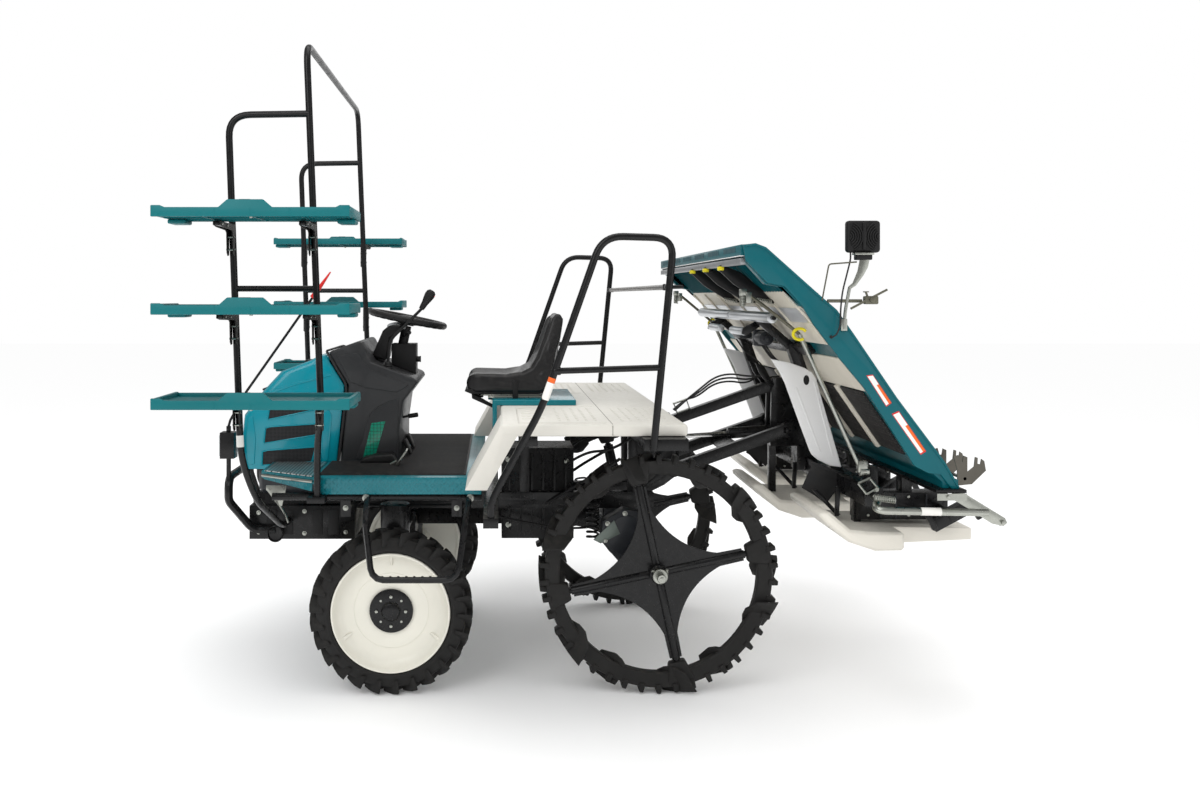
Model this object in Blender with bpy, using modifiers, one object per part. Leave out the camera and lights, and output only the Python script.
"""Six-row riding rice transplanter, built as an assembly of closed solids.

Lengths are metres. +X is forward, +Y is the machine's left, +Z is up, and the wheels
stand on Z = 0. Places along X are measured from the rear axle while the pieces are made;
the last step moves everything so that the origin lies under the middle of the whole box.
"""
import math

import bmesh
import bpy
from mathutils import Matrix, Vector

# Clearances
SEAT_GAP = 0.0003          # between two pieces that rest on each other
PIN_GAP = 0.0008           # added to a pin's radius to give its bore
RUN_GAP = 0.008            # between two pieces that move past each other

# Overall
FRONT_END_X = 1.84         # front ends of the spare seedling racks
REAR_END_X = -1.22         # sweep of the planting claws
WHEELBASE = 1.06
TRACK = 1.20

# Wheels
FRONT_TYRE_R = 0.325
FRONT_TYRE_W = 0.110
FRONT_RIM_R = 0.236
REAR_TYRE_R = 0.475
REAR_RING_R = 0.395        # inner radius of the rubber ring
REAR_TYRE_W = 0.130
REAR_HUB_Z = REAR_TYRE_R
FRONT_HUB_Z = FRONT_TYRE_R
WHEEL_STEPS = 28

# Chassis
RAIL_Y = 0.125             # middle of each main rail
RAIL_W = 0.050
RAIL_Z0 = 0.640
RAIL_Z1 = 0.710
RAIL_REAR_X = -0.05
RAIL_FRONT_X = 1.70
SIDE_TUBE_Y = 0.620
SIDE_TUBE_Z = 0.780
SIDE_TUBE_R = 0.015
UNDERCOVER_X0 = WHEELBASE + 0.20
UNDERCOVER_X1 = 1.72
UNDERCOVER_Y = 0.20
UNDERCOVER_Z0 = 0.515
KINGPIN_Y = 0.450
KINGPIN_Z = 0.535           # where the steered case meets the axle housing
AXLE_TUBE_R = 0.045
AXLE_TUBE_Z = 0.590
REAR_AXLE_TUBE_X = 0.120

# Floor, deck and seat
FLOOR_Z0 = 0.835
FLOOR_Z1 = 0.862
FLOOR_HALF_Y = 0.655
FLOOR_REAR_X = 0.700
FLOOR_CORNER_X = 1.360
FLOOR_FRONT_X = 1.600
FLOOR_FRONT_Y = 0.500
SKIRT_W = 0.045
DECK_HALF_Y = 0.935
DECK_REAR_X = -0.060
DECK_FRONT_X = 0.625
DECK_Z1 = 2 * REAR_TYRE_R + 0.154   # clear of the rear wheels
DECK_LIP = 0.045
DECK_WALL = 0.010
LEG_INNER_Y = 0.560
SEAT_HALF_Y = 0.220
SEAT_Z0 = DECK_Z1 + 0.043

# Covers
BONNET_HALF_Y = 0.260
COVER_WALL = 0.010
SEAM_GAP = 0.006

# Rails and racks
TUBE_R = 0.0135
HANDRAIL_Y = 1.014
POST_Y = 0.746
ARCH_Z = 2.546
RACK_LEVELS = (1.200, 1.530, 1.870)
RACK_X0 = 1.150
RACK_INNER_Y = 0.855
RACK_OUTER_Y = 1.150
RACK_H = 0.040
RACK_HINGE_Y = 0.850
RACK_ARM_H = 0.018

# Steering
WHEEL_CENTRE = Vector((1.045, 0.0, 1.470))
WHEEL_TILT = math.radians(11.6)
WHEEL_RIM_R = 0.165
WHEEL_RIM_TUBE_R = 0.016

# Three-point linkage
LINK_FRONT = Vector((-0.130, 0.0, 0.815))
LINK_REAR = Vector((-0.628, 0.0, 0.991))
UPPER_RISE = Vector((0.004, 0.0, 0.184))   # upper pivots from the lower ones
LINK_Y = 0.185
LINK_W = 0.040
LINK_DEPTH = 0.050
PIN_R = 0.012
CYLINDER_FRONT = Vector((-0.100, 0.0, 0.930))
CYLINDER_REAR = Vector((-0.675, 0.0, 0.968))
CYLINDER_R = 0.026
CYLINDER_ROD_R = 0.010
HITCH_PLATE_Y = 0.036

# Planting unit
ROW_UNIT_Y = (-0.60, 0.0, 0.60)
ROW_PITCH = 0.30
ROTOR_X = -1.10
ROTOR_Z = 0.735
ROTOR_SHAFT_R = 0.010
BEAM_Z0 = 0.780
BEAM_Z1 = 0.850
BEAM_HALF_Y = 0.810
TABLE_HALF_Y = 0.960
TABLE_SIDE_W = 0.020
TABLE_FOOT_Z = 0.8735
TABLE_SLAB = 0.024
RAIL_PLATE_H = 0.012
FLOAT_Z0 = 0.605
FLOAT_Z1 = 0.680
FLOAT_TAIL_HALF = 0.095
MARKER_BASE = Vector((-0.745, BEAM_HALF_Y - 0.020, 0.909))
MARKER_PIN_R = 0.008


# ---------------------------------------------------------------- tools

def clear_scene():
    for old in list(bpy.data.objects):
        bpy.data.objects.remove(old, do_unlink=True)


def new_material(name, colour, roughness, metallic=0.0):
    material = bpy.data.materials.new(name)
    material.use_nodes = True
    shader = material.node_tree.nodes["Principled BSDF"]
    shader.inputs["Base Color"].default_value = (*colour, 1.0)
    shader.inputs["Roughness"].default_value = roughness
    shader.inputs["Metallic"].default_value = metallic
    return material


def add_object(name, mesh):
    piece = bpy.data.objects.new(name, mesh)
    PARTS.objects.link(piece)
    return piece


def bake(piece):
    """Apply an object's modifiers, or turn a curve into a mesh, in world space."""
    bpy.context.view_layer.update()
    depsgraph = bpy.context.evaluated_depsgraph_get()
    mesh = bpy.data.meshes.new_from_object(piece.evaluated_get(depsgraph))
    mesh.transform(piece.matrix_world)
    cleaner = bmesh.new()
    cleaner.from_mesh(mesh)
    bmesh.ops.remove_doubles(cleaner, verts=cleaner.verts, dist=0.00002)
    cleaner.to_mesh(mesh)
    cleaner.free()
    name = piece.name
    bpy.data.objects.remove(piece, do_unlink=True)
    return add_object(name, mesh)


def box(x0, x1, y0, y1, z0, z1, name="box"):
    low = Vector((min(x0, x1), min(y0, y1), min(z0, z1)))
    high = Vector((max(x0, x1), max(y0, y1), max(z0, z1)))
    shape = bmesh.new()
    bmesh.ops.create_cube(shape, size=1.0)
    size = high - low
    bmesh.ops.scale(shape, vec=size, verts=shape.verts)
    bmesh.ops.translate(shape, vec=(low + high) / 2, verts=shape.verts)
    mesh = bpy.data.meshes.new(name)
    shape.to_mesh(mesh)
    shape.free()
    return add_object(name, mesh)


def rod(start, end, radius, sides=16, name="rod"):
    start = Vector(start)
    end = Vector(end)
    along = end - start
    shape = bmesh.new()
    bmesh.ops.create_cone(shape, cap_ends=True, segments=sides,
                          radius1=radius, radius2=radius, depth=along.length)
    turn = Vector((0, 0, 1)).rotation_difference(along.normalized()).to_matrix().to_4x4()
    move = Matrix.Translation((start + end) / 2)
    bmesh.ops.transform(shape, matrix=move @ turn, verts=shape.verts)
    mesh = bpy.data.meshes.new(name)
    shape.to_mesh(mesh)
    shape.free()
    return add_object(name, mesh)


def rounded_path(points, bend, steps=3):
    """The points of a path whose inner corners are arcs of the radius bend."""
    corners = [Vector(p) for p in points]
    path = [corners[0]]
    for before, corner, after in zip(corners, corners[1:], corners[2:]):
        into = (before - corner).normalized()
        out = (after - corner).normalized()
        half = into.angle(out) / 2
        if half > math.radians(86):
            path.append(corner)
            continue
        room = 0.45 * min((before - corner).length, (after - corner).length)
        reach = min(bend / math.tan(half), room)
        radius = reach * math.tan(half)
        middle = corner + (into + out).normalized() * (radius / math.sin(half))
        first = corner + into * reach - middle
        last = corner + out * reach - middle
        turn = first.angle(last)
        for step in range(steps + 1):
            share = step / steps
            blend = (math.sin((1 - share) * turn) * first + math.sin(share * turn) * last)
            path.append(middle + blend / math.sin(turn))
    path.append(corners[-1])
    return path


def smooth_path(points, steps):
    """The points of one smooth curve through the given ones."""
    ends = [Vector(p) for p in points]
    ends = [2 * ends[0] - ends[1], *ends, 2 * ends[-1] - ends[-2]]
    path = []
    for a, b, c, d in zip(ends, ends[1:], ends[2:], ends[3:]):
        for step in range(steps):
            t = step / steps
            path.append(((2 * b) + (c - a) * t + (2 * a - 5 * b + 4 * c - d) * t ** 2
                         + (3 * b - a - 3 * c + d) * t ** 3) / 2)
    path.append(ends[-2])
    return path


def tube(points, radius, bend=0.06, name="tube", rings=2):
    """A round bar or pipe along the points; a bend of 0 leaves them as they are."""
    curve = bpy.data.curves.new(name, "CURVE")
    curve.dimensions = "3D"
    curve.bevel_depth = radius
    curve.bevel_resolution = rings
    curve.use_fill_caps = True
    path = rounded_path(points, bend) if bend else points
    spline = curve.splines.new("POLY")
    spline.points.add(len(path) - 1)
    for place, point in zip(spline.points, path):
        place.co = (*point, 1.0)
    return bake(add_object(name, curve))


AXIS_TURN = {
    "X": Matrix(((0, 0, 1, 0), (1, 0, 0, 0), (0, 1, 0, 0), (0, 0, 0, 1))),
    "Y": Matrix(((1, 0, 0, 0), (0, 0, -1, 0), (0, 1, 0, 0), (0, 0, 0, 1))),
    "Z": Matrix.Identity(4),
}


def plate(outline, axis, low, high, holes=(), name="plate"):
    """A flat outline with thickness. It is drawn in YZ, XZ or XY for axis X, Y or Z."""
    curve = bpy.data.curves.new(name, "CURVE")
    curve.dimensions = "2D"
    curve.fill_mode = "BOTH"
    curve.extrude = abs(high - low) / 2
    for loop in (outline, *holes):
        spline = curve.splines.new("POLY")
        spline.points.add(len(loop) - 1)
        for place, (across, up) in zip(spline.points, loop):
            place.co = (across, up, 0.0, 1.0)
        spline.use_cyclic_u = True
    piece = add_object(name, curve)
    middle = (low + high) / 2
    shift = {"X": (middle, 0, 0), "Y": (0, middle, 0), "Z": (0, 0, middle)}[axis]
    piece.matrix_world = Matrix.Translation(shift) @ AXIS_TURN[axis]
    return bake(piece)


def circle(centre, radius, sides=16):
    turns = [2 * math.pi * (step + 0.5) / sides for step in range(sides)]
    return [(centre[0] + radius * math.cos(t), centre[1] + radius * math.sin(t)) for t in turns]


def ribbon(points, width):
    """The outline of a band of even width along a flat path."""
    path = [Vector(p) for p in points]
    left = []
    right = []
    for index, point in enumerate(path):
        before = path[max(index - 1, 0)]
        after = path[min(index + 1, len(path) - 1)]
        into = (point - before).normalized() if index else (after - point).normalized()
        out = (after - point).normalized() if index < len(path) - 1 else into
        normal_in = Vector((-into.y, into.x))
        normal_out = Vector((-out.y, out.x))
        mitre = (normal_in + normal_out).normalized()
        reach = width / 2 / mitre.dot(normal_in)
        left.append(point + mitre * reach)
        right.append(point - mitre * reach)
    return [tuple(p) for p in left + right[::-1]]


def inset(outline, wall):
    """A closed outline moved inwards by the thickness of a wall."""
    corners = [Vector(p) for p in outline]
    area = sum(a.x * b.y - b.x * a.y for a, b in zip(corners, corners[1:] + corners[:1]))
    side = 1.0 if area > 0 else -1.0
    inner = []
    for index, corner in enumerate(corners):
        into = (corner - corners[index - 1]).normalized()
        out = (corners[(index + 1) % len(corners)] - corner).normalized()
        normal_in = Vector((-into.y, into.x)) * side
        normal_out = Vector((-out.y, out.x)) * side
        mitre = (normal_in + normal_out).normalized()
        inner.append(tuple(corner + mitre * (wall / mitre.dot(normal_in))))
    return inner


def turned(profile, centre, steps=WHEEL_STEPS, name="turned"):
    """A ring or disc about the Y axis. The profile holds (radius, place along Y)."""
    shape = bmesh.new()
    rows = []
    for step in range(steps):
        angle = 2 * math.pi * step / steps
        row = []
        for radius, along in profile:
            place = (centre[0] + radius * math.cos(angle), along, centre[2] + radius * math.sin(angle))
            row.append(shape.verts.new(place))
        rows.append(row)
    count = len(profile)
    closed = profile[0][0] > 0
    for step in range(steps):
        here = rows[step]
        there = rows[(step + 1) % steps]
        for index in range(count if closed else count - 1):
            after = (index + 1) % count
            shape.faces.new((here[index], here[after], there[after], there[index]))
    bmesh.ops.remove_doubles(shape, verts=shape.verts, dist=0.00002)
    bmesh.ops.recalc_face_normals(shape, faces=shape.faces)
    mesh = bpy.data.meshes.new(name)
    shape.to_mesh(mesh)
    shape.free()
    return add_object(name, mesh)


def combine(base, others, operation):
    for other in others:
        step = base.modifiers.new(operation, "BOOLEAN")
        step.operation = operation
        step.solver = "EXACT"
        step.object = other
    result = bake(base)
    for other in others:
        bpy.data.objects.remove(other, do_unlink=True)
    return result


def fuse(*pieces):
    return combine(pieces[0], pieces[1:], "UNION")


def cut(piece, *cutters):
    return combine(piece, cutters, "DIFFERENCE")


def soften(piece, width, segments=2, angle=35):
    """Round the edges of a piece."""
    step = piece.modifiers.new("rounded", "BEVEL")
    step.width = width
    step.segments = segments
    step.limit_method = "ANGLE"
    step.angle_limit = math.radians(angle)
    return bake(piece)


def mirrored(piece, name):
    mesh = piece.data.copy()
    mesh.transform(Matrix.Scale(-1, 4, (0, 1, 0)))
    mesh.flip_normals()
    return add_object(name, mesh)


def named(piece, name, material, origin=None):
    """Give a finished piece its name, its material and, if it moves, its origin."""
    piece.name = name
    piece.data.name = name
    piece.data.materials.clear()
    piece.data.materials.append(material)
    if origin is not None:
        piece.data.transform(Matrix.Translation(-Vector(origin)))
        piece.location = origin
    piece.data.shade_smooth()
    piece.data.set_sharp_from_angle(angle=math.radians(35))
    return piece


def both_sides(piece, name, material, origin=None):
    """Name a left piece and add its mirrored twin on the right."""
    twin = mirrored(piece, name + "_right")
    named(piece, name + "_left", material, origin)
    far = None if origin is None else (origin[0], -origin[1], origin[2])
    named(twin, name + "_right", material, far)


def span_at(low, high, level):
    """X on the straight line between two (x, z) points at the height level."""
    return low[0] + (high[0] - low[0]) * (level - low[1]) / (high[1] - low[1])


# ---------------------------------------------------------------- chassis

def make_chassis():
    rail_low = RAIL_Y - RAIL_W / 2
    rail_high = RAIL_Y + RAIL_W / 2
    deck_seat = DECK_Z1 - DECK_LIP - SEAT_GAP
    pieces = []
    for side in (1, -1):
        pieces.append(box(RAIL_REAR_X, RAIL_FRONT_X, side * rail_low, side * rail_high, RAIL_Z0, RAIL_Z1))
        for post_x in (0.02, 0.50):
            pieces.append(box(post_x, post_x + 0.04, side * (rail_low + 0.004), side * (rail_high - 0.004),
                              RAIL_Z1 - 0.02, deck_seat - 0.02))
        side_y = side * SIDE_TUBE_Y
        pieces.append(rod((FLOOR_REAR_X, side_y, SIDE_TUBE_Z), (1.53, side_y, SIDE_TUBE_Z), SIDE_TUBE_R, 12))
        pieces.append(box(1.31, 1.38, side * 0.605, side * 0.70, SIDE_TUBE_Z - 0.012, SIDE_TUBE_Z + 0.012))
        pieces.append(box(-0.02, 0.53, side * 0.40, side * 0.44, deck_seat - 0.036, deck_seat - 0.003))
        hitch = [(0.06, 0.66), (-0.10, 0.74), (-0.165, 0.79), (-0.165, 1.03), (-0.09, 1.045), (0.06, 1.045)]
        pieces.append(plate(hitch, "Y", side * 0.106, side * 0.136))
    pieces.append(box(-0.05, 0.11, -1.0002, 1.0002, deck_seat - 0.042, deck_seat))
    pieces.append(box(0.49, 0.55, -0.90, 0.90, deck_seat - 0.040, deck_seat))
    pieces.append(box(0.78, 0.82, -0.62, 0.62, 0.70, 0.772))
    pieces.append(box(1.22, 1.26, -0.62, 0.62, 0.70, 0.772))
    pieces.append(box(0.635, 0.69, -1.035, 1.035, 0.745, 0.780))
    for side in (1, -1):
        pieces.append(box(0.64, 0.685, side * 0.103, side * 0.147, 0.69, 0.76))
    pieces.append(box(0.30, 0.62, -0.12, 0.12, 0.50, 0.90))
    pieces.append(box(0.18, 1.00, -0.05, 0.05, 0.55, 0.63))
    pieces.append(box(UNDERCOVER_X0, UNDERCOVER_X1, -UNDERCOVER_Y, UNDERCOVER_Y, UNDERCOVER_Z0, 0.66))
    pieces.append(rod((LINK_FRONT.x, -0.21, LINK_FRONT.z), (LINK_FRONT.x, 0.21, LINK_FRONT.z), PIN_R))
    upper = LINK_FRONT + UPPER_RISE
    pieces.append(rod((upper.x, -0.12, upper.z), (upper.x, 0.12, upper.z), PIN_R))
    for side in (1, -1):
        inner_y = side * (BONNET_EAR_Y - 0.022)
        outer_y = side * (BONNET_EAR_Y - 0.0075)
        arm = [(1.69, 0.60), (1.716, 0.60), (1.749, 0.790), (1.749, 0.826), (1.744, 0.831), (1.732, 0.831),
               (1.729, 0.826), (1.727, 0.790), (1.69, 0.68)]
        pieces.append(plate(arm, "Y", inner_y, outer_y))
        pieces.append(rod((BONNET_HINGE[0], inner_y * 1.01, BONNET_HINGE[2]),
                          (BONNET_HINGE[0], side * (BONNET_EAR_Y + 0.010), BONNET_HINGE[2]), BONNET_PIN_R, 16))
    named(fuse(*pieces), "chassis_frame", BLACK_STEEL)


def make_engine():
    block = box(1.335, 1.685, -0.19, 0.19, RAIL_Z1 + SEAT_GAP, 1.04)
    named(soften(block, 0.02, 1), "engine_block", DARK_METAL)


def make_axles():
    pad_z = RAIL_Z0 - SEAT_GAP
    front = fuse(rod((WHEELBASE, -KINGPIN_Y, AXLE_TUBE_Z), (WHEELBASE, KINGPIN_Y, AXLE_TUBE_Z), AXLE_TUBE_R),
                 box(WHEELBASE - 0.04, WHEELBASE + 0.04, -0.15, 0.15, 0.60, pad_z),
                 box(WHEELBASE - 0.055, WHEELBASE + 0.055, -0.08, 0.08, 0.50, 0.61),
                 rod((WHEELBASE, KINGPIN_Y, KINGPIN_Z), (WHEELBASE, KINGPIN_Y, 0.72), 0.06, 20),
                 rod((WHEELBASE, -KINGPIN_Y, KINGPIN_Z), (WHEELBASE, -KINGPIN_Y, 0.72), 0.06, 20))
    named(front, "front_axle", BLACK_STEEL)

    tube_z = 0.585
    x = REAR_AXLE_TUBE_X
    pieces = [rod((x, -0.42, tube_z), (x, 0.42, tube_z), 0.05)]
    for side in (1, -1):
        pieces.append(box(x - 0.05, x + 0.05, side * 0.09, side * 0.16, 0.60, pad_z))
        case = [(0.02, 0.405), (-0.075, 0.455), (-0.085, 0.52), (0.02, 0.68), (0.12, 0.70), (0.205, 0.65),
                (0.215, 0.57), (0.085, 0.42)]
        pieces.append(plate(case, "Y", side * 0.40, side * 0.47))
        pieces.append(rod((0, side * 0.46, REAR_HUB_Z), (0, side * (0.50 - SEAT_GAP), REAR_HUB_Z), 0.03))
    named(fuse(*pieces), "rear_axle", DARK_METAL)


# ---------------------------------------------------------------- wheels

def make_front_wheels():
    y = TRACK / 2
    hub = (WHEELBASE, y, FRONT_HUB_Z)
    hub_back = y - 0.055
    knuckle = fuse(rod((WHEELBASE, KINGPIN_Y, 0.27), (WHEELBASE, KINGPIN_Y, KINGPIN_Z - SEAT_GAP), 0.05, 20),
                   rod((WHEELBASE, KINGPIN_Y, FRONT_HUB_Z), (WHEELBASE, hub_back - SEAT_GAP, FRONT_HUB_Z), 0.045),
                   box(0.93, WHEELBASE, KINGPIN_Y - 0.018, KINGPIN_Y + 0.018, 0.50, 0.52))
    both_sides(knuckle, "knuckle", BLACK_STEEL, (WHEELBASE, KINGPIN_Y, FRONT_HUB_Z))
    disc = [(0, hub_back), (0.070, hub_back), (0.078, y - 0.025), (0.195, y - 0.015), (0.222, y - 0.048),
            (FRONT_RIM_R, y - 0.048), (FRONT_RIM_R, y + 0.048), (0.224, y + 0.048), (0.200, y + 0.004),
            (0.088, y + 0.002), (0.084, y + 0.020), (0, y + 0.028)]
    both_sides(turned(disc, hub), "front_rim", WHITE_PAINT, hub)
    inner = FRONT_RIM_R + SEAT_GAP
    half = FRONT_TYRE_W / 2
    shoulder = FRONT_TYRE_R - 0.022
    ring = [(inner, y - 0.044), (inner, y + 0.044), (inner + 0.024, y + half), (shoulder, y + half),
            (FRONT_TYRE_R, y + half - 0.02), (FRONT_TYRE_R, y - half + 0.02), (shoulder, y - half),
            (inner + 0.024, y - half)]
    both_sides(turned(ring, hub), "front_tyre", RUBBER, hub)


def make_rear_wheels():
    y = TRACK / 2
    hub = (0.0, y, REAR_HUB_Z)
    half = REAR_TYRE_W / 2
    ring = [(REAR_RING_R, y - 0.025), (REAR_RING_R, y + 0.025), (REAR_RING_R + 0.045, y + 0.030),
            (REAR_TYRE_R, y + half), (REAR_TYRE_R, y - half), (REAR_RING_R + 0.045, y - 0.030)]
    both_sides(turned(ring, hub), "rear_tyre", RUBBER, hub)

    tip = REAR_RING_R * math.cos(math.pi / WHEEL_STEPS) - SEAT_GAP
    tilt = math.radians(-12)
    star = []
    sides = 32
    for step in range(sides):
        angle = 2 * math.pi * step / sides
        across = abs(math.cos(angle)) ** (2 / 0.6)
        up = abs(math.sin(angle)) ** (2 / 0.6)
        across = math.copysign(across, math.cos(angle)) * (tip - 0.03)
        up = math.copysign(up, math.sin(angle)) * (tip - 0.03)
        star.append((across * math.cos(tilt) - up * math.sin(tilt),
                     REAR_HUB_Z + across * math.sin(tilt) + up * math.cos(tilt)))
    pieces = [plate(star, "Y", y - 0.004, y + 0.004)]
    for arm in range(2):
        angle = tilt + arm * math.pi / 2
        reach = Vector((math.cos(angle), 0, math.sin(angle))) * (tip - 0.0002)
        middle = Vector(hub)
        pieces.append(rod(middle - reach, middle + reach, 0.015, 12))
    pieces.append(rod((0, 0.50, REAR_HUB_Z), (0, y + 0.05, REAR_HUB_Z), 0.045))
    pieces.append(rod((0, y + 0.04, REAR_HUB_Z), (0, y + 0.11, REAR_HUB_Z), 0.02, 12))
    both_sides(fuse(*pieces), "rear_spider", BLACK_STEEL, hub)


# ---------------------------------------------------------------- floor, deck and seat

def make_floor():
    notch_x = 1.27
    notch_y = BONNET_HALF_Y + RUN_GAP
    half = FLOOR_HALF_Y
    right = [(FLOOR_REAR_X, -half), (FLOOR_CORNER_X, -half), (FLOOR_FRONT_X, -FLOOR_FRONT_Y),
             (FLOOR_FRONT_X, -notch_y), (notch_x, -notch_y)]
    left = [(x, -y) for x, y in reversed(right)]
    panel = plate(right + left, "Z", FLOOR_Z0, FLOOR_Z1)
    skirt_z = SIDE_TUBE_Z + SIDE_TUBE_R + SEAT_GAP
    skirts = []
    for side in (1, -1):
        edge = [(FLOOR_REAR_X + 0.002, side * (half - SKIRT_W)), (FLOOR_REAR_X + 0.002, side * (half - 0.001)),
                (FLOOR_CORNER_X, side * (half - 0.001)), (FLOOR_CORNER_X, side * (half - SKIRT_W))]
        skirts.append(plate(edge, "Z", skirt_z, FLOOR_Z1 - 0.004))
    named(fuse(panel, *skirts), "floor_panel", TEAL_PAINT)


def make_steps():
    inner_y = SIDE_TUBE_Y + SIDE_TUBE_R + SEAT_GAP
    low = 0.510
    path = [(1.150, inner_y, SIDE_TUBE_Z), (1.150, inner_y + 0.025, SIDE_TUBE_Z), (1.140, 0.80, 0.720),
            (1.110, 0.845, low), (0.790, 0.845, low), (0.760, 0.80, 0.720),
            (0.750, inner_y + 0.025, SIDE_TUBE_Z), (0.750, inner_y, SIDE_TUBE_Z)]
    both_sides(tube(path, 0.012, 0.05), "step_loop", BLACK_STEEL)


def make_deck():
    lip_z = DECK_Z1 - DECK_LIP
    half = DECK_HALF_Y
    slab = box(DECK_REAR_X, DECK_FRONT_X, -half, half, lip_z, DECK_Z1)
    slab = soften(slab, 0.012, 2)
    leg_outline = [(0.757, FLOOR_Z1 + SEAT_GAP), (0.677, FLOOR_Z1 + SEAT_GAP), (0.565, lip_z + 0.004),
                   (0.560, DECK_Z1 - 0.006), (0.627, DECK_Z1 - 0.006)]
    legs = [plate(leg_outline, "Y", LEG_INNER_Y, half - 0.003),
            plate(leg_outline, "Y", -half + 0.003, -LEG_INNER_Y)]
    hollow = box(DECK_REAR_X + 0.012, 0.545, -half + 0.012, half - 0.012, lip_z - 0.02, DECK_Z1 - DECK_WALL)
    named(cut(fuse(slab, *legs), hollow), "rear_deck", WHITE_PLASTIC)


def make_seat():
    top = DECK_Z1 + SEAT_GAP
    base = fuse(box(0.30, 0.66, -0.27, 0.27, top, top + 0.024),
                box(0.640, 0.660, -0.27, 0.27, top - 0.124, top + 0.020),
                box(0.47, 0.68, -0.12, 0.12, top + 0.01, SEAT_Z0 - SEAT_GAP))
    named(base, "seat_base", TEAL_PAINT)
    cushion = [(0.785, 0.048), (0.772, 0.085), (0.740, 0.093), (0.560, 0.067), (0.497, 0.085)]
    backrest = [(0.462, 0.153), (0.405, 0.343), (0.380, 0.364), (0.350, 0.358), (0.346, 0.323),
                (0.372, 0.183), (0.400, 0.053)]
    foot = [(0.440, 0), (0.740, 0)]
    profile = [(x, SEAT_Z0 + rise) for x, rise in cushion + backrest + foot]
    seat = plate(profile, "Y", -SEAT_HALF_Y, SEAT_HALF_Y)
    named(soften(seat, 0.02, 2, 60), "seat", BLACK_VINYL)


# ---------------------------------------------------------------- rails and racks

HANDRAIL_TOP = (0.005, 1.783)
HANDRAIL_FOOT = (0.079, 1.020)


def make_handrails():
    y = HANDRAIL_Y
    path = [(0.662, y, 0.780 + SEAT_GAP), (0.662, y, 0.84), (0.478, y, 1.1755), (0.262, y, 1.790),
            (HANDRAIL_TOP[0], y, HANDRAIL_TOP[1]), (HANDRAIL_FOOT[0], y, HANDRAIL_FOOT[1])]
    rail = tube(path, TUBE_R, 0.07)
    bar = rod((0.425, y, 1.306), (0.055, y, 1.318), 0.010, 8)
    both_sides(fuse(rail, bar), "handrail", BLACK_STEEL)
    level = 1.607
    x = span_at(HANDRAIL_FOOT, HANDRAIL_TOP, level)
    reach = y - TUBE_R - SEAT_GAP
    named(rod((x, -reach, level), (x, reach, level), 0.010, 12), "rail_cross_rod", ZINC)


REAR_POST = ((1.3156, 1.120), (1.372, ARCH_Z))
FRONT_POST = ((1.634, 1.210), (1.672, 2.270))


def make_rack_frame():
    y = POST_Y
    foot_y = FLOOR_HALF_Y + TUBE_R + 0.006
    foot_z = SIDE_TUBE_Z + 0.012 + SEAT_GAP
    half_arch = [(1.343, foot_y, foot_z), (1.343, foot_y, 1.00), (REAR_POST[0][0], y, REAR_POST[0][1]),
                 (REAR_POST[1][0], y, ARCH_Z)]
    arch = half_arch + [(x, -side, z) for x, side, z in reversed(half_arch)]
    pieces = [tube(arch, TUBE_R, 0.09)]
    bar_z = 2.275
    for side in (1, -1):
        path = [(span_at(*REAR_POST, bar_z), side * y, bar_z), (FRONT_POST[1][0], side * y, FRONT_POST[1][1]),
                (FRONT_POST[0][0], side * y, FRONT_POST[0][1]), (1.625, side * y, 0.95),
                (1.575, side * 0.70, 0.78), (1.545, side * 0.34, 0.60),
                (1.545, side * (UNDERCOVER_Y + SEAT_GAP), 0.60)]
        pieces.append(tube(path, TUBE_R, 0.08))
        mid_z = 1.603
        pieces.append(rod((span_at(*REAR_POST, mid_z), side * y, mid_z),
                          (span_at(*FRONT_POST, mid_z), side * y, mid_z), 0.011, 8))
        for level in RACK_LEVELS:
            arm_top = level - RACK_H / 2 - SEAT_GAP
            for post in (REAR_POST, FRONT_POST):
                x = span_at(*post, level)
                pieces.append(box(x - 0.009, x + 0.009, side * y, side * 0.97, arm_top - RACK_ARM_H, arm_top))
    named(fuse(*pieces), "rack_frame", BLACK_STEEL)


def make_racks():
    for level, word in zip(RACK_LEVELS, ("low", "mid", "top")):
        low = level - RACK_H / 2
        tray = box(RACK_X0, FRONT_END_X, RACK_INNER_Y, RACK_OUTER_Y, low, low + RACK_H)
        tray = soften(tray, 0.008, 1)
        pockets = []
        bays = 4
        length = (FRONT_END_X - RACK_X0 - 0.030) / bays
        for bay in range(bays):
            start = RACK_X0 + 0.020 + bay * length
            pockets.append(box(start, start + length - 0.010, RACK_INNER_Y + 0.10, RACK_OUTER_Y - 0.015,
                               low - 0.01, low + 0.026))
        both_sides(cut(tray, *pockets), "seedling_rack_" + word, TEAL_PLASTIC,
                   (RACK_X0, RACK_HINGE_Y, low))


# ---------------------------------------------------------------- covers and steering

BONNET_OUTLINE = [(1.722, 0.780), (1.747, 0.950), (1.733, 1.060), (1.660, 1.155), (1.572, 1.250),
                  (1.450, 1.296), (1.378, 1.333), (1.290, 1.190), (1.331, 0.780)]
BONNET_FOOT_Z = 0.830
BONNET_HINGE = (1.738, 0.0, 0.822)
BONNET_EAR_Y = 0.105
BONNET_PIN_R = 0.006


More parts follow.
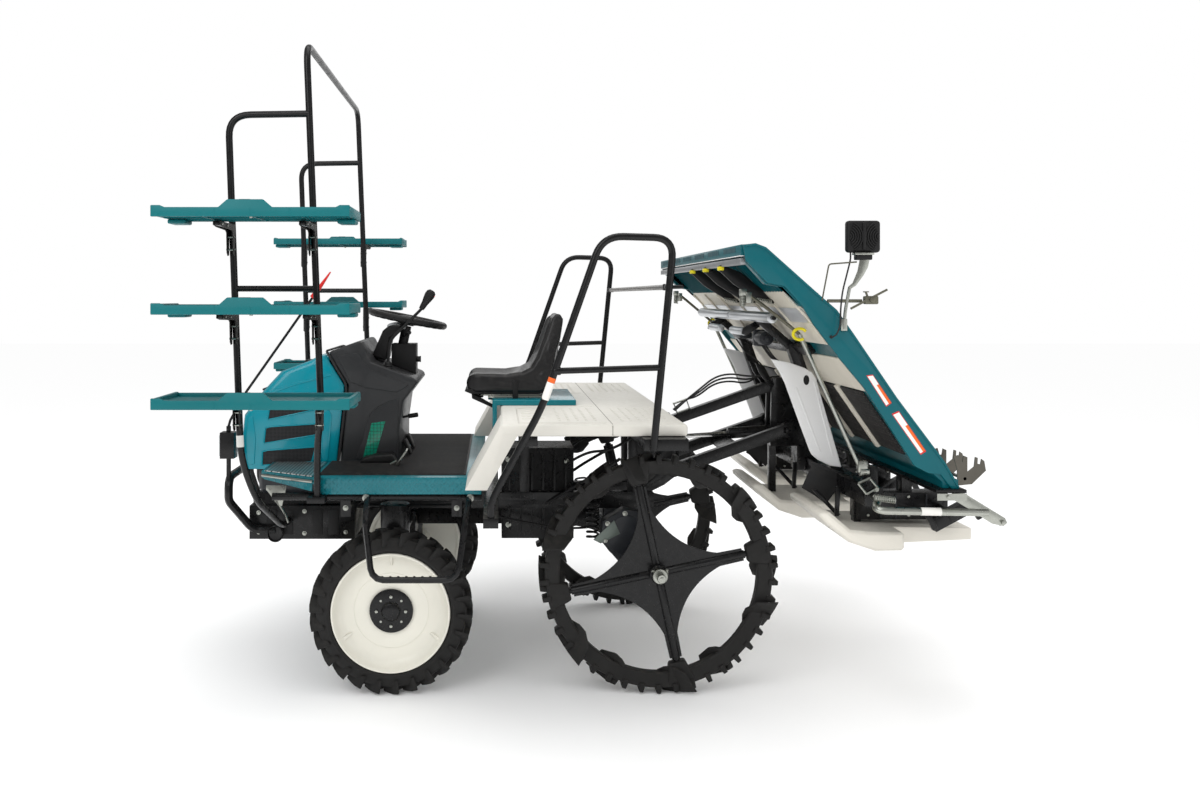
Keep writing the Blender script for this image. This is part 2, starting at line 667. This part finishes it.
def make_bonnet():
    shell = plate(BONNET_OUTLINE, "Y", -BONNET_HALF_Y, BONNET_HALF_Y)
    shell = soften(shell, 0.03, 2, 50)
    inner = inset(BONNET_OUTLINE, COVER_WALL)
    core = inner[:-3] + [(1.378 - 0.20, inner[6][1] - 0.004), (1.10, 1.190), (1.10, 0.70), (1.706, 0.70)]
    cavity = plate(core, "Y", -BONNET_HALF_Y + COVER_WALL, BONNET_HALF_Y - COVER_WALL)
    below = box(1.20, 1.90, -0.40, 0.40, 0.60, BONNET_FOOT_Z)
    hinge = (BONNET_HINGE[0], BONNET_HINGE[2])
    ears = []
    for side in (1, -1):
        outline = ribbon([(1.7235, 0.852), hinge], 0.020)
        ears.append(plate(outline, "Y", side * (BONNET_EAR_Y - 0.005), side * (BONNET_EAR_Y + 0.005)))
        ears.append(plate(circle(hinge, 0.0112, 12), "Y", side * (BONNET_EAR_Y - 0.006),
                          side * (BONNET_EAR_Y + 0.006)))
    pin = rod((hinge[0], -0.2, hinge[1]), (hinge[0], 0.2, hinge[1]), BONNET_PIN_R + PIN_GAP, 16)
    bonnet = cut(fuse(cut(shell, cavity, below), *ears), pin)
    named(bonnet, "bonnet", TEAL_PAINT, BONNET_HINGE)


DASH_SHELF = ((0.985, 1.215), (1.180, 1.290))


def shelf_z(x):
    """The height of the dash cover's sloping shelf."""
    (x0, z0), (x1, z1) = DASH_SHELF
    return z0 + (x - x0) * (z1 - z0) / (x1 - x0)


def make_dash():
    seam_top = (1.378 - SEAM_GAP * 1.3, 1.333)
    seam_mid = (1.290 - SEAM_GAP * 1.1, 1.190)
    outline = [seam_top, (1.228, 1.384), DASH_SHELF[1], DASH_SHELF[0], (0.985, 1.196), (1.043, 1.120),
               (1.060, 1.000), (1.060, 0.800), (1.326 - SEAM_GAP, 0.800), seam_mid]
    cover = plate(outline, "Y", -BONNET_HALF_Y, BONNET_HALF_Y)
    cover = soften(cover, 0.015, 2, 50)
    core = [(1.345, 1.305), (1.235, 1.368), (1.190, 1.281), (1.050, 1.228), (1.060, 1.120), (1.072, 1.00),
            (1.072, 0.70), (1.305, 0.70), (1.272, 1.190)]
    cavity = plate(core, "Y", -BONNET_HALF_Y + COVER_WALL, BONNET_HALF_Y - COVER_WALL)
    below = box(0.90, 1.50, -0.40, 0.40, 0.60, FLOOR_Z1 + SEAT_GAP)
    named(cut(cover, cavity, below), "dash_cover", GREY_PLASTIC)


def make_steering():
    axis = Vector((-math.sin(WHEEL_TILT), 0, math.cos(WHEEL_TILT)))
    rest = SEAT_GAP * 1.3
    housing = [(1.005, shelf_z(1.005) + rest), (1.115, shelf_z(1.115) + rest), (1.115, 1.36), (1.005, 1.36)]
    column = fuse(rod(WHEEL_CENTRE - axis * 0.19, WHEEL_CENTRE - axis * 0.032, 0.022, 12),
                  plate(housing, "Y", -0.055, 0.055))
    named(column, "steering_column", GREY_PLASTIC)
    turn = Vector((0, 0, 1)).rotation_difference(axis).to_matrix().to_4x4()
    place = Matrix.Translation(WHEEL_CENTRE) @ turn
    bpy.ops.mesh.primitive_torus_add(major_radius=WHEEL_RIM_R, minor_radius=WHEEL_RIM_TUBE_R,
                                     major_segments=24, minor_segments=8)
    rim = bpy.context.object
    for holder in list(rim.users_collection):
        holder.objects.unlink(rim)
    PARTS.objects.link(rim)
    rim.matrix_world = place
    pieces = [bake(rim), rod(WHEEL_CENTRE - axis * 0.0317, WHEEL_CENTRE + axis * 0.012, 0.038, 16)]
    for spoke in range(3):
        angle = math.pi + spoke * 2 * math.pi / 3
        end = place @ Vector((math.cos(angle) * WHEEL_RIM_R, math.sin(angle) * WHEEL_RIM_R, 0))
        pieces.append(rod(place @ Vector((0, 0, -0.006)), end, 0.009, 8))
    named(fuse(*pieces), "steering_wheel", BLACK_PLASTIC, WHEEL_CENTRE)
    y = 0.21
    shaft = [(1.114, y, shelf_z(1.122) + SEAT_GAP), (1.114, y, 1.300), (1.088, y, 1.405),
             (0.985, y, 1.502), (0.962, y, 1.528)]
    lever = tube(shaft, 0.008, 0.03)
    grip = rod((0.966, y, 1.523), (0.930, y, 1.575), 0.016, 10)
    named(fuse(lever, grip), "control_lever", BLACK_PLASTIC)


def make_front_end():
    y = UNDERCOVER_Y + 0.0185
    path = [(1.60, y, 0.56), (1.70, y, 0.56), (1.785, 0.30, 0.70), (1.785, 0.30, 0.80)]
    path += [(x, -side, z) for x, side, z in reversed(path)]
    pieces = [tube(path, 0.018, 0.05)]
    for side in (1, -1):
        pieces.append(rod((1.785, side * 0.30, 0.78), (1.785, side * 0.30, 0.90), 0.010, 8))
        pieces.append(box(1.755, 1.815, side * 0.268, side * 0.332, 0.885, 0.995))
    named(fuse(*pieces), "front_guard", BLACK_STEEL)
    path = [(1.785, 0.30, 0.995 + SEAT_GAP), (1.785, 0.30, 1.030), (1.710, 0.30, 1.166), (1.348, 0.30, 1.680)]
    named(tube(path, 0.006, 0.04), "centre_marker", BLACK_PLASTIC)


# ---------------------------------------------------------------- linkage

def link_plate(start, end, y0, y1, depth, eye):
    """A flat link with a round eye at both ends, bored for a pin."""
    flat_start = (start.x, start.z)
    flat_end = (end.x, end.z)
    bar = plate(ribbon([flat_start, flat_end], depth), "Y", y0, y1)
    eyes = [plate(circle(flat_start, eye, 16), "Y", y0 - 0.001, y1 + 0.001),
            plate(circle(flat_end, eye, 16), "Y", y0 - 0.001, y1 + 0.001)]
    return fuse(bar, *eyes)


def bored(piece, *centres):
    drills = []
    for centre in centres:
        drills.append(rod((centre.x, -0.4, centre.z), (centre.x, 0.4, centre.z), PIN_R + PIN_GAP))
    return cut(piece, *drills)


def make_links():
    low = LINK_Y - LINK_W / 2
    high = LINK_Y + LINK_W / 2
    arms = [link_plate(LINK_FRONT, LINK_REAR, low, high, LINK_DEPTH, 0.030),
            link_plate(LINK_FRONT, LINK_REAR, -high, -low, LINK_DEPTH, 0.030)]
    along = (LINK_REAR - LINK_FRONT).normalized()
    start = LINK_FRONT + along * 0.25
    end = LINK_FRONT + along * 0.33
    web = plate(ribbon([(start.x, start.z - 0.012), (end.x, end.z - 0.012)], 0.010), "Y", -low - 0.01, low + 0.01)
    links = bored(fuse(arms[0], web, arms[1]), LINK_FRONT, LINK_REAR)
    named(links, "lower_links", BLACK_STEEL, LINK_FRONT)

    front = LINK_FRONT + UPPER_RISE
    rear = LINK_REAR + UPPER_RISE
    upper = bored(link_plate(front, rear, -0.024, 0.024, 0.044, 0.026), front, rear)
    named(upper, "upper_link", BLACK_STEEL, front)

    along = (CYLINDER_REAR - CYLINDER_FRONT).normalized()
    mouth = CYLINDER_REAR - along * 0.265
    barrel = fuse(rod(CYLINDER_REAR - along * 0.030, mouth, CYLINDER_R),
                  plate(circle((CYLINDER_REAR.x, CYLINDER_REAR.z), 0.024), "Y", -0.020, 0.020),
                  rod(CYLINDER_REAR, CYLINDER_REAR - along * 0.05, 0.017, 12))
    bore = rod(mouth - along * 0.01, CYLINDER_REAR - along * 0.045, CYLINDER_ROD_R + PIN_GAP, 12)
    barrel = bored(cut(barrel, bore), CYLINDER_REAR)
    named(barrel, "lift_barrel", BLACK_STEEL, CYLINDER_REAR)
    stroke_end = CYLINDER_REAR - along * 0.060
    ram = rod(CYLINDER_FRONT + along * 0.02, stroke_end, CYLINDER_ROD_R, 12)
    eye = plate(circle((CYLINDER_FRONT.x, CYLINDER_FRONT.z), 0.024), "Y", -0.020, 0.020)
    named(fuse(ram, eye), "lift_rod", CHROME, CYLINDER_FRONT)

    top = 0.022
    clip_at = front.lerp(rear, 0.18)
    slope = (rear - front).normalized()
    normal = Vector((slope.z, 0, -slope.x))
    foot = clip_at + normal * (top + SEAT_GAP)
    clip_outline = [(foot + slope * -0.012), (foot + slope * 0.012),
                    (foot + slope * 0.012 + normal * 0.055), (foot + slope * -0.012 + normal * 0.055)]
    clip = plate([(p.x, p.z) for p in clip_outline], "Y", -0.03, 0.03)
    hoses = [clip]
    for y in (-0.018, 0.018):
        path = [(-0.165, y, 1.055), (-0.212, y, 1.096), (-0.30, y, 1.180), (-0.42, y, 1.228),
                (-0.53, y, 1.222), (-0.590, y, 1.214)]
        hoses.append(tube(path, 0.006, 0.08))
    named(fuse(*hoses), "link_hoses", RUBBER, front)


# ---------------------------------------------------------------- planting unit

TABLE_LINE = [(-0.268, 1.735), (-0.330, 1.712), (-0.530, 1.500), (-0.700, 1.275), (-0.900, 0.985),
              (-1.010, 0.890)]
TABLE_SIDE = [(-0.2554, 1.7627), (-0.300, 1.766), (-0.339, 1.752), (-0.537, 1.575), (-0.5954, 1.524),
              (-0.661, 1.431), (-0.814, 1.205), (-0.989, 0.970), (-1.040, 0.880), (-1.043, TABLE_FOOT_Z),
              (-1.014, TABLE_FOOT_Z), (-0.975, 0.925), (-0.930, 0.930), (-0.880, 0.956), (-0.6975, 1.240),
              (-0.606, 1.349), (-0.512, 1.473), (-0.4715, 1.539), (-0.406, 1.611), (-0.344, 1.622),
              (-0.266, 1.704)]


def make_planting_frame():
    rail_top = TABLE_FOOT_Z - SEAT_GAP
    pieces = [box(-0.82, -0.75, -BEAM_HALF_Y, BEAM_HALF_Y, BEAM_Z0, BEAM_Z1),
              box(-0.800, -0.712, -0.048, 0.048, 0.79, 1.08)]
    hitch = [(-0.598, 1.205), (-0.655, 1.210), (-0.700, 1.120), (-0.740, 1.070), (-0.740, 0.90), (-0.590, 0.90)]
    upper = LINK_REAR + UPPER_RISE
    for side in (1, -1):
        pieces.append(plate(hitch, "Y", side * HITCH_PLATE_Y, side * (HITCH_PLATE_Y + 0.016)))
        pieces.append(rod((LINK_REAR.x, side * (HITCH_PLATE_Y + 0.004), LINK_REAR.z),
                          (LINK_REAR.x, side * 0.213, LINK_REAR.z), PIN_R))
        pieces.append(plate(ribbon([(-0.5785, 1.379), (-0.785, 0.80)], 0.045), "Y", side * 0.405, side * 0.45))
        pieces.append(box(-0.80, -0.772, side * (BEAM_HALF_Y - 0.04), side * BEAM_HALF_Y, 0.83, 0.93))
        pieces.append(rod((-0.79, side * MARKER_BASE.y, MARKER_BASE.z),
                          (-0.735, side * MARKER_BASE.y, MARKER_BASE.z), MARKER_PIN_R, 16))
    pieces.append(box(-0.66, -0.592, -0.045, 0.045, 0.903, 0.925))
    pieces.append(box(-0.625, -0.595, -0.016, 0.016, FLOAT_Z1 + 0.008 + SEAT_GAP, 0.915))
    pieces.append(rod((upper.x, -0.045, upper.z), (upper.x, 0.045, upper.z), PIN_R))
    pieces.append(rod((CYLINDER_REAR.x, -0.045, CYLINDER_REAR.z), (CYLINDER_REAR.x, 0.045, CYLINDER_REAR.z), PIN_R))
    pieces.append(box(-1.06, -0.95, -0.98, 0.98, rail_top - RAIL_PLATE_H, rail_top))
    for y in ROW_UNIT_Y:
        pieces.append(box(-1.135, -0.78, y - 0.045, y + 0.045, 0.695, 0.800))
        pieces.append(box(-1.00, -0.96, y - 0.03, y + 0.03, 0.79, rail_top - 0.002))
        if y:
            pieces.append(box(-0.80, -0.775, y - 0.02, y + 0.02, FLOAT_Z1 + SEAT_GAP, 0.79))
    line_low = Vector(TABLE_LINE[3])
    line_high = Vector(TABLE_LINE[2])
    along = (line_high - line_low).normalized()
    under = Vector((along.y, -along.x))
    at = line_low + (line_high - line_low) * 0.46 + under * (TABLE_SLAB / 2 + SEAT_GAP + 0.015)
    bar = ribbon([at - along * 0.02, at + along * 0.02], 0.030)
    pieces.append(plate(bar, "Y", -0.62, 0.62))
    frame = fuse(*pieces)
    drills = []
    for y in ROW_UNIT_Y:
        drills.append(rod((ROTOR_X, y - 0.1, ROTOR_Z), (ROTOR_X, y + 0.1, ROTOR_Z),
                          ROTOR_SHAFT_R + PIN_GAP, 12))
    named(cut(frame, *drills), "planting_frame", BLACK_STEEL)


def make_rotors():
    for y, word in zip(ROW_UNIT_Y, ("right", "centre", "left")):
        for_case = 0.045 + SEAT_GAP
        pieces = []
        shafts = []
        for side in (1, -1):
            near = y + side * for_case
            far = y + side * (ROW_PITCH / 2 + 0.030)
            shafts.append(rod((ROTOR_X, near, ROTOR_Z), (ROTOR_X, far, ROTOR_Z), 0.018, 12))
            angle = math.radians(28)
            along = Vector((math.cos(angle), 0, -math.sin(angle)))
            middle = Vector((ROTOR_X, 0, ROTOR_Z))
            ends = [middle - along * 0.085, middle + along * 0.085]
            case = plate(ribbon([(ends[0].x, ends[0].z), (ends[1].x, ends[1].z)], 0.05), "Y",
                         y + side * (ROW_PITCH / 2 - 0.022), y + side * (ROW_PITCH / 2 + 0.022))
            pieces.append(case)
            for end, turn in ((ends[0], 1), (ends[1], -1)):
                across = Vector((along.z, 0, -along.x)) * turn
                tip = end + across * 0.055
                root = end - across * 0.01
                pieces.append(plate(ribbon([(root.x, root.z), (tip.x, tip.z)], 0.022), "Y",
                                    y + side * (ROW_PITCH / 2 + 0.018), y + side * (ROW_PITCH / 2 + 0.036)))
        bridge = rod((ROTOR_X, y - 0.06, ROTOR_Z), (ROTOR_X, y + 0.06, ROTOR_Z), ROTOR_SHAFT_R, 12)
        named(fuse(bridge, *shafts, *pieces), "planting_rotor_" + word, BLACK_STEEL, (ROTOR_X, y, ROTOR_Z))


def make_floats():
    for y, word in zip(ROW_UNIT_Y, ("right", "centre", "left")):
        nose = -0.575 if y else -0.470
        top = FLOAT_Z1
        front = [(nose, 0.742), (nose - 0.012, 0.758), (nose - 0.050, 0.752), (nose - 0.125, top + 0.008),
                 (nose - 0.20, top), (-0.905, top), (-0.905, FLOAT_Z0 + 0.004), (nose - 0.22, FLOAT_Z0 + 0.002),
                 (nose - 0.12, 0.640), (nose - 0.04, 0.705)]
        tail = [(-0.85, top - 0.002), (-1.205, top - 0.008), (-1.205, 0.628), (-0.85, FLOAT_Z0 + 0.006)]
        half = 0.205 if y else 0.210
        body = soften(plate(front, "Y", y - half, y + half), 0.012, 1, 50)
        end = plate(tail, "Y", y - FLOAT_TAIL_HALF, y + FLOAT_TAIL_HALF)
        named(fuse(body, end), "float_" + word, WHITE_PLASTIC)


def make_guards():
    y = TABLE_HALF_Y - 0.01
    path = [(-0.785, BEAM_HALF_Y + SEAT_GAP, 0.815), (-0.785, 0.86, 0.815), (-0.735, y, 0.792),
            (-1.150, y, 0.785)]
    foot_z = TABLE_FOOT_Z - RAIL_PLATE_H - 2 * SEAT_GAP
    link = plate([(-1.02, foot_z), (-1.055, foot_z), (REAR_END_X + 0.008, 0.765), (REAR_END_X, 0.748),
                  (REAR_END_X + 0.014, 0.736), (-1.165, 0.745), (-1.02, 0.835)], "Y", y - 0.004, y + 0.004)
    both_sides(fuse(tube(path, 0.014, 0.05), link), "row_guard", ZINC)

    panel = [(-0.486, 1.316), (-0.626, 1.279), (-0.669, 1.246), (-0.778, 0.870), (-0.729, 0.876),
             (-0.679, 0.901), (-0.6465, 0.938), (-0.6095, 1.037), (-0.544, 1.217), (-0.519, 1.267)]
    both_sides(plate(panel, "Y", 0.45 + SEAT_GAP, 0.462), "cover_panel", WHITE_PLASTIC)


def make_table():
    half = TABLE_HALF_Y
    slab = plate(ribbon([Vector(p) for p in TABLE_LINE], TABLE_SLAB), "Y", -half + 0.01, half - 0.01)
    foot = box(-1.043, -0.985, -half + 0.01, half - 0.01, TABLE_FOOT_Z, 0.905)
    pieces = [slab, foot]
    for side in (1, -1):
        pieces.append(plate(TABLE_SIDE, "Y", side * (half - TABLE_SIDE_W), side * half))
    fence = [(-0.345, 1.735), (-0.560, 1.505), (-0.735, 1.268), (-0.925, 0.990), (-0.950, 0.955),
             (-0.905, 0.985), (-0.700, 1.275), (-0.530, 1.500), (-0.335, 1.712)]
    for lane in range(1, 6):
        y = -0.9 + lane * ROW_PITCH
        pieces.append(plate(fence, "Y", y - 0.006, y + 0.006))
    named(fuse(*pieces), "seedling_table", TEAL_PAINT, (0, 0, TABLE_FOOT_Z))


def make_marker_arms():
    base = MARKER_BASE
    path = [(base.x, base.y, base.z), (-0.509, base.y, 1.430), (-0.306, base.y - 0.04, 1.594)]
    boss = rod((-0.772 + SEAT_GAP, base.y, base.z), (-0.736, base.y, base.z), 0.018, 16)
    arm = fuse(boss, tube(path, 0.009, 0.06))
    drill = rod((-0.80, base.y, base.z), (-0.7345, base.y, base.z), MARKER_PIN_R + PIN_GAP, 16)
    both_sides(cut(arm, drill), "marker_arm", ZINC, tuple(base))


def make_work_light():
    y = TABLE_HALF_Y + SEAT_GAP
    lamp = soften(box(-0.757, -0.634, 0.925, 0.970, 1.733, 1.850), 0.012, 1)
    neck = rod((-0.690, 0.955, 1.75), (-0.672, 0.972, 1.66), 0.010, 8)
    stem = tube([(-0.672, 0.972, 1.67), (-0.640, 0.972, 1.58), (-0.620, 0.972, 1.47)], 0.006, 0.03)
    shoe = box(-0.640, -0.600, y, y + 0.010, 1.44, 1.51)
    named(fuse(lamp, neck, stem, shoe), "work_light", BLACK_PLASTIC, (0, 0, TABLE_FOOT_Z))


LAMP_LEAD_R = 0.003
LAMP_LEAD = [(-0.650, 0.9475, 1.7327), (-0.649, 0.9476, 1.705), (-0.634, 0.953, 1.650), (-0.616, 0.964, 1.590),
             (-0.605, 0.977, 1.530), (-0.601, 0.983, 1.475), (-0.590, 0.983, 1.440),
             (-0.577, 0.976, 1.427), (-0.575, 0.968, 1.426), (-0.575, TABLE_HALF_Y + 2 * SEAT_GAP, 1.426)]


def make_light_cable():
    """The lamp's lead hangs from the housing and goes in through the table's side plate."""
    path = smooth_path(LAMP_LEAD, 4)
    named(tube(path, LAMP_LEAD_R, 0), "light_cable", RUBBER, (0, 0, TABLE_FOOT_Z))


# ---------------------------------------------------------------- assembly

def place_on_origin():
    """Put the origin under the middle of the box, from the two named ends."""
    shift = -(FRONT_END_X + REAR_END_X) / 2
    for piece in PARTS.objects:
        if piece.parent is None:
            piece.location.x += shift


clear_scene()
PARTS = bpy.data.collections.new("rice_transplanter")
bpy.context.scene.collection.children.link(PARTS)

BLACK_STEEL = new_material("black_steel", (0.012, 0.012, 0.013), 0.35, 0.3)
DARK_METAL = new_material("dark_metal", (0.05, 0.06, 0.08), 0.45, 0.6)
ZINC = new_material("zinc", (0.62, 0.61, 0.56), 0.3, 1.0)
CHROME = new_material("chrome", (0.8, 0.8, 0.8), 0.1, 1.0)
TEAL_PAINT = new_material("teal_paint", (0.0, 0.19, 0.22), 0.3)
TEAL_PLASTIC = new_material("teal_plastic", (0.0, 0.17, 0.18), 0.5)
WHITE_PAINT = new_material("white_paint", (0.80, 0.79, 0.74), 0.35)
WHITE_PLASTIC = new_material("white_plastic", (0.78, 0.77, 0.72), 0.4)
GREY_PLASTIC = new_material("grey_plastic", (0.05, 0.05, 0.055), 0.5)
BLACK_PLASTIC = new_material("black_plastic", (0.015, 0.015, 0.016), 0.45)
BLACK_VINYL = new_material("black_vinyl", (0.014, 0.014, 0.015), 0.5)
RUBBER = new_material("rubber", (0.018, 0.017, 0.016), 0.75)

make_chassis()
make_engine()
make_axles()
make_front_wheels()
make_rear_wheels()
make_floor()
make_steps()
make_deck()
make_seat()
make_handrails()
make_rack_frame()
make_racks()
make_bonnet()
make_dash()
make_steering()
make_front_end()
make_links()
make_planting_frame()
make_rotors()
make_floats()
make_guards()
make_table()
make_marker_arms()
make_work_light()
make_light_cable()
place_on_origin()
